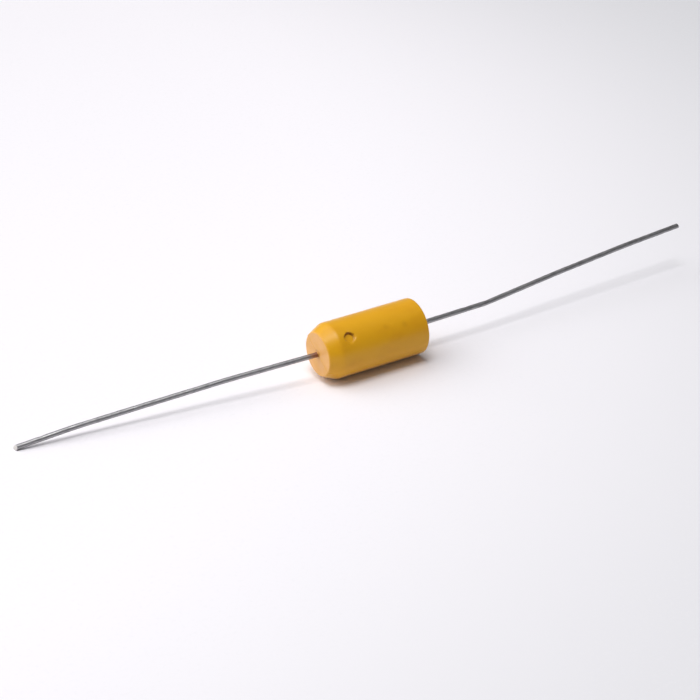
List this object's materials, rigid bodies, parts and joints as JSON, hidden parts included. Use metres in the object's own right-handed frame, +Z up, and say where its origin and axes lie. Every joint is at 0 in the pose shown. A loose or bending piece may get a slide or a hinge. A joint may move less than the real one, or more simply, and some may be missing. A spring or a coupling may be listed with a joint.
{
  "type": "axial tantalum capacitor",
  "caption": "Round moulded capacitor case with a bevelled positive nose, a sintered slug sealed inside and a bent round wire lead out of the centre of each end.",
  "frame": {"origin": "on the axis of the moulded case, midway along the case", "axes": "+X along the case's axis towards the negative lead, so the bevelled positive nose looks along -X; +Z up from the surface that the part lies on, which is the case's radius below the origin"},
  "size_m": [0.0947, 0.0084, 0.0072],
  "materials": {
    "moulded_epoxy": "yellow-orange transfer-moulded epoxy, soft semi-gloss",
    "coated_nickel": "dull grey solder-coated nickel wire",
    "sintered_tantalum": "matt grey sintered powder",
    "tantalum_wire": "bluish grey drawn wire",
    "ptfe": "waxy white fluoropolymer",
    "manganese_dioxide": "matt black crust",
    "graphite": "dull dark grey coat",
    "silver_paint": "matt silver paint",
    "solder": "bright solder",
    "weld_metal": "dull fused metal"
  },
  "bodies": {
    "root": {"case": "moulded_epoxy", "positive_lead": "coated_nickel", "negative_lead": "coated_nickel", "anode_pellet": "sintered_tantalum", "riser_wire": "tantalum_wire", "ptfe_washer": "ptfe", "manganese_dioxide_layer": "manganese_dioxide", "graphite_coat": "graphite", "silver_coat": "silver_paint", "solder_joint": "solder", "weld_bead": "weld_metal"}
  },
  "joints": []
}
